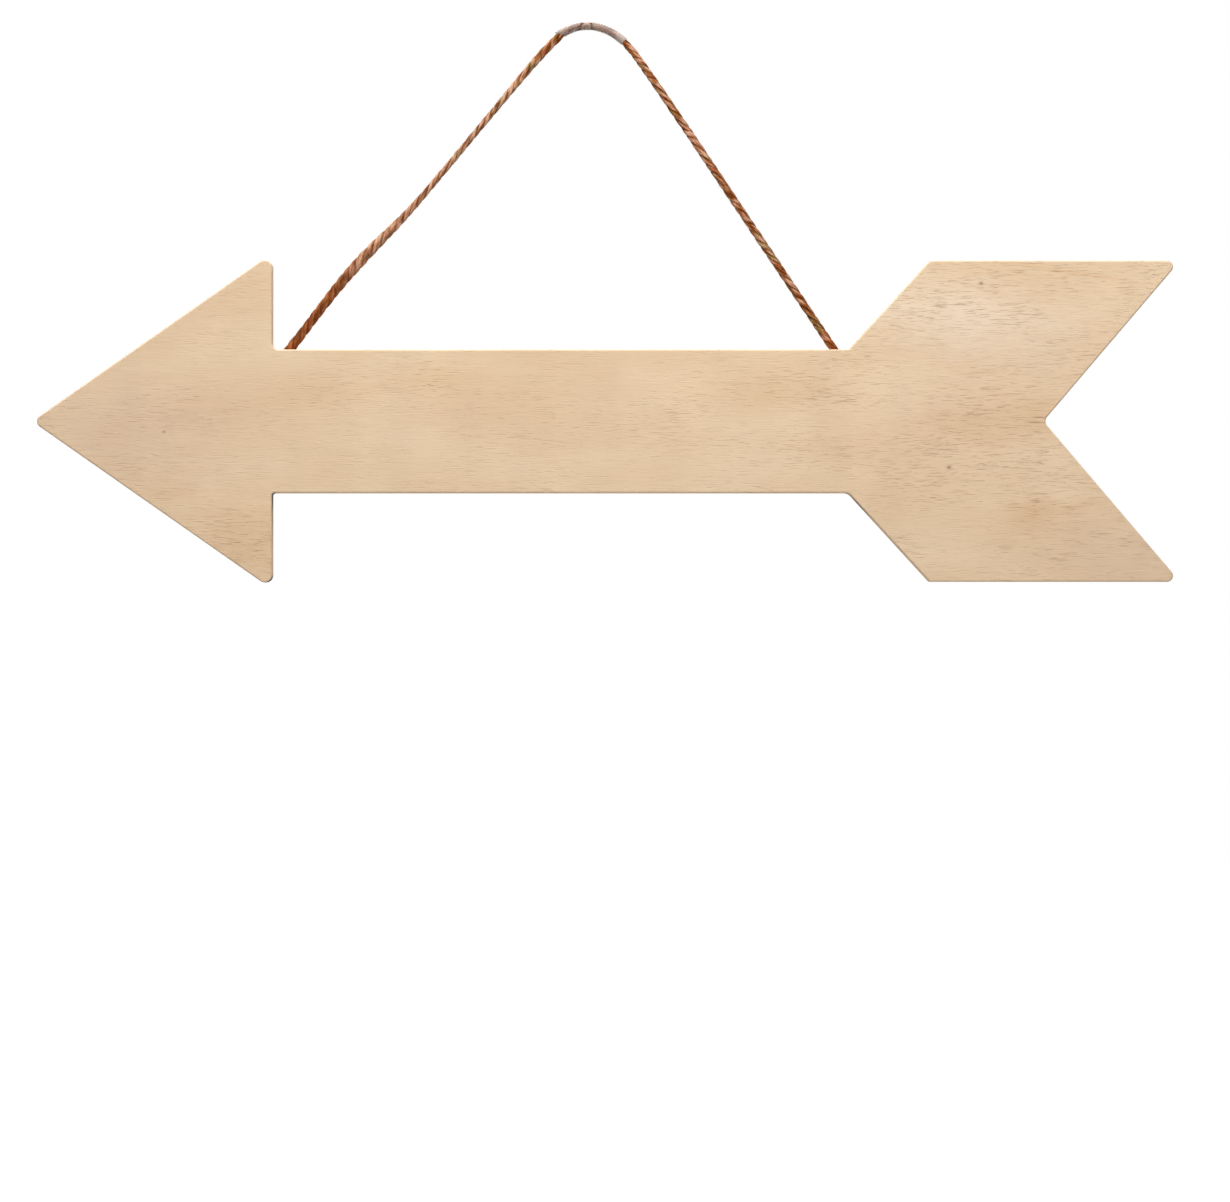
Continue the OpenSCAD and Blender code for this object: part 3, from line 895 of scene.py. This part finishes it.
class SIGN_OT_board(bpy.types.Operator):
    """Give the arrow its plywood: veneered faces, and plies that show on its edges"""

    bl_idname = "sign.finish_board"
    bl_label = "Board"

    def execute(self, context):
        coat(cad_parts["board"], self.plywood_material(context.scene.sign_wood))
        return {"FINISHED"}

    def plywood_material(self, settings):
        """Rotary-cut basswood plywood, sanded and bare: pale and matt, with short fine pores."""
        material, tree, node = new_material("sanded_basswood_plywood")
        coordinates = node("ShaderNodeTexCoord").node.outputs
        place = coordinates["Object"]
        front, back = (corner[1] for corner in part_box("board"))
        normal = node(VECTOR_MATH, "ABSOLUTE", {0: coordinates["Normal"]})
        normal = node(SPLIT, None, {0: normal}).node.outputs

        grain = self.bend_grain(tree, place, front)
        face, face_height = self.veneer(tree, settings, place, grain, front)
        edge, edge_height = self.ply_edge(tree, settings, place, normal, front, back)
        # The plies show where the surface turns away from the faces
        on_edge = node(MAP_RANGE, SMOOTH, (normal["Y"], 0.75, 0.35))
        colour = node(MIX, IN_COLOUR, {0: on_edge, 6: face, 7: edge}, 2)
        height = node(MIX, None, {0: on_edge, 2: face_height, 3: edge_height})
        bump = node("ShaderNodeBump", None, {"Height": height, "Strength": 0.5, "Distance": 0.12 * MM})
        add_surface(tree, {
            "Base Color": colour, "Normal": bump, "Roughness": 0.62, "IOR": 1.5,
            "Specular IOR Level": 0.35,
        })
        return material

    def bend_grain(self, tree, place, front):
        """Coordinates that follow the grain: slightly wavy, and bent round the pin knots."""
        node = partial(add_node, tree)
        # The grain wanders by up to this much, in waves about 70 mm long
        wander = 1.5 * MM
        waves = mottle(tree, place, per_mm(70, 20, 26), 1.0)
        shift = node(MATH, "MULTIPLY_ADD", (waves, 2 * wander, -wander))
        for x, z, size in PIN_KNOTS:
            apart = node(VECTOR_MATH, "SUBTRACT", (place, (x, front, z)))
            near = node(VECTOR_MATH, "LENGTH", {0: apart}, "Value")
            up = node(SPLIT, None, {0: apart}, "Z")
            # It makes way for a knot within 3.2 times the knot's size
            pull = node(MAP_RANGE, SMOOTH, (near, 0.0, 3.2 * size, -0.55, 0.0))
            shift = node(MATH, "MULTIPLY_ADD", (up, pull, shift))
        shift = node(JOIN, None, {"Z": shift})
        return node(VECTOR_MATH, "ADD", (place, shift))

    def veneer(self, tree, settings, place, grain, front):
        """The face veneer's colour and height: clouds, marks, fibres, pores, knots and splits."""
        node = partial(add_node, tree)
        # Broad clouds of paler and fuller wood, about 45 mm by 18 mm
        clouds = mottle(tree, grain, per_mm(45, 4, 18), 3.0, 0.45)
        colour = (*settings.biscuit, 1)
        colour, _ = tone_over(tree, colour, settings.cream, clouds, 0.30, 0.72)

        # Marks have ragged ends and edges, which follow the grain
        ragged = mottle(tree, grain, per_mm(11, 3, 1.6), 4.0, 0.6)
        marked = 0.0
        for x, z, half_length, half_height, tilt, tone, most in MARKS:
            halves = (half_length, 3 * MM, half_height)
            far = oval_distance(tree, place, (x, front, z), halves, tilt)
            far = node(MATH, "MULTIPLY_ADD", (ragged, -1.7, far))
            tone_colour = getattr(settings, tone)
            colour, mark = tone_over(tree, colour, tone_colour, far, 0.65, -0.85, most)
            if tone == "honey":
                marked = node(MATH, "MAXIMUM", (marked, mark))

        # Fibres: fine lines 0.3 mm wide and about 9 mm long
        fibres = mottle(tree, grain, per_mm(9, 1, 0.3), 3.0, 0.6)
        # Upright bands about 15 mm wide, slightly paler and darker: a painted sheen, the veneer's
        # chatoyance
        sheen_bands = mottle(tree, place, per_mm(15, 8, 140), 1.0)
        # Pores: short dashes, the size of the settings, in drifts about 30 mm by 14 mm
        length, width = settings.pore_length / MM, settings.pore_width / MM
        dashes = mottle(tree, grain, per_mm(length, 1, width), 1.0, 0.4, (7.3, 0, 2.1))
        drifts = mottle(tree, grain, per_mm(30, 5, 14), 2.0, shift=(3.1, 0, 4.7))
        pores = node(MATH, "MULTIPLY", (
            node(MAP_RANGE, SMOOTH, (dashes, 0.57, 0.74)),
            node(MAP_RANGE, None, (drifts, 0.35, 0.65, 0.25, 1.0)),
        ))
        shade = node(MATH, "MULTIPLY", (
            node(MAP_RANGE, None, (fibres, 0.25, 0.75, 0.975, 1.025)),
            node(MAP_RANGE, None, (sheen_bands, 0.3, 0.7, 0.98, 1.02)),
        ))
        colour = node(VECTOR_MATH, "SCALE", {0: colour, "Scale": shade})
        # The pores are more open in the marks and towards the tail
        across = node(SPLIT, None, {0: place}, "X")
        opened = node(MAP_RANGE, SMOOTH, (across, 50 * MM, 120 * MM, 0.30, 0.55))
        opened = node(MATH, "MULTIPLY_ADD", (marked, 0.9, opened))
        pores = node(MATH, "MULTIPLY", (pores, opened))
        colour = node(MIX, IN_COLOUR, {0: pores, 6: colour, 7: (*settings.pore, 1)}, 2)

        # Pin knots: a dark heart in a soft brown ring
        for x, z, size in PIN_KNOTS:
            far = oval_distance(tree, place, (x, front, z), (size, size, size * 0.75))
            for start, end, most in ((1.7, 0.4, 0.26), (0.66, 0.25, 0.56)):
                colour, _ = tone_over(tree, colour, settings.knot, far, start, end, most)

        return colour, node(MATH, "MULTIPLY_ADD", (pores, -4.5, fibres))

    def ply_edge(self, tree, settings, place, normal, front, back):
        """The sawn edge's colour and height: plies with crossed grain, thin glue lines, and painted
        shade by the lower corners.
        """
        node = partial(add_node, tree)
        depth = node(SPLIT, None, {0: place}, "Y")
        layer = node(MAP_RANGE, None, (depth, front, back, 0.0, float(settings.plies)))
        # Every second ply has its grain upright
        crossed = node(MATH, "FLOOR", {0: layer})
        crossed = node(MATH, "PINGPONG", (crossed, 1.0))
        # End grain shows where a ply's fibres run out through the edge
        end_grain = node(MIX, None, {0: crossed, 2: normal["X"], 3: normal["Z"]})
        # Cut fibre ends are grainy, about 0.25 mm across. Long grain has streaks along the edge,
        # 0.2 mm wide and 5 mm long.
        ends = mottle(tree, place, per_mm(0.25, 0.25, 0.25), 2.0)
        streaks = mottle(tree, place, per_mm(5, 0.2, 5), 3.0)
        warmed = node(MATH, "MULTIPLY", (end_grain, 0.55))
        colour = node(MIX, IN_COLOUR, {0: warmed, 6: (*settings.cream, 1), 7: (*settings.honey, 1)}, 2)
        speckle = node(MIX, None, {0: end_grain, 2: streaks, 3: ends})
        shade = node(MAP_RANGE, None, (speckle, 0.3, 0.7, 0.86, 1.06))
        colour = node(VECTOR_MATH, "SCALE", {0: colour, "Scale": shade})
        # Glue lines are drawn a tenth of a ply thick, so that they show. Real ones are thinner.
        seam = node(MATH, "PINGPONG", (layer, 0.5))
        glue = node(MAP_RANGE, None, (seam, 0.07, 0.03, 0.0, 0.55))
        colour = node(MIX, IN_COLOUR, {0: glue, 6: colour, 7: (*settings.glue, 1)}, 2)
        # Painted shade: the edge is painted dark by the lower inner corners and at the lower tips
        for x, z, half_length, half_height, tilt, most in EDGE_SHADES:
            halves = (half_length, 100 * MM, half_height)
            far = oval_distance(tree, place, (x, front, z), halves, tilt)
            far = node(MATH, "MULTIPLY_ADD", (ends, 0.3, far))
            colour, _ = tone_over(tree, colour, settings.edge_shade, far, 1.15, 0.15, most)
        return colour, speckle


class SIGN_OT_staples(bpy.types.Operator):
    """Give the staples their zinc-coated wire"""

    bl_idname = "sign.finish_staples"
    bl_label = "Staples"

    def execute(self, context):
        material = self.wire_material(context.scene.sign_staples)
        for name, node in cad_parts.items():
            if name.startswith("staple_"):
                coat(node, material)
        return {"FINISHED"}

    def wire_material(self, settings):
        """Flattened steel wire, zinc-coated: a dull shine, mottled with spangle."""
        material, tree, node = new_material("zinc_coated_wire")
        place = node("ShaderNodeTexCoord", output="Object")
        # Spangle and handling marks, about 0.4 mm across
        marks = node(NOISE, None, {"Vector": place, "Scale": per_mm(0.4)[0], "Detail": 3.0})
        shade = node(MAP_RANGE, None, (marks, 0.3, 0.7, 0.78, 1.0))
        colour = node(VECTOR_MATH, "SCALE", {0: settings.zinc, "Scale": shade})
        rough = node(MAP_RANGE, None, (marks, 0.0, 1.0, 0.28, 0.55))
        bump = node("ShaderNodeBump", None, {"Height": marks, "Strength": 0.2, "Distance": 0.03 * MM})
        add_surface(tree, {
            "Base Color": colour, "Roughness": rough, "Normal": bump, "Metallic": 1.0,
        })
        return material


class SIGN_PT_panel(bpy.types.Panel):
    """Lists the pieces of the sign, in the order in which they are made"""

    bl_idname = "SIGN_PT_panel"
    bl_label = "Direction sign"
    bl_space_type = "VIEW_3D"
    bl_region_type = "UI"
    bl_category = "Sign"

    def draw(self, context):
        for operator in OPERATORS:
            self.layout.operator(operator.bl_idname)


GROUPS = {
    "sign_stage": StageSettings,
    "sign_twine": TwineSettings,
    "sign_tape": TapeSettings,
    "sign_wood": WoodSettings,
    "sign_staples": StapleSettings,
}
OPERATORS = (SIGN_OT_stage, SIGN_OT_twine, SIGN_OT_tape, SIGN_OT_board, SIGN_OT_staples)


def register():
    for kind in (*GROUPS.values(), *OPERATORS, SIGN_PT_panel):
        bpy.utils.register_class(kind)
    for name, kind in GROUPS.items():
        setattr(bpy.types.Scene, name, bpy.props.PointerProperty(type=kind))


def unregister():
    for name in GROUPS:
        delattr(bpy.types.Scene, name)
    for kind in reversed((*GROUPS.values(), *OPERATORS, SIGN_PT_panel)):
        bpy.utils.unregister_class(kind)


def main():
    """Makes the whole sign."""
    register()
    bpy.ops.sign.make_stage()
    bpy.ops.sign.make_twine()
    bpy.ops.sign.make_tape()
    bpy.ops.sign.finish_board()
    bpy.ops.sign.finish_staples()


if __name__ == "__main__":
    main()
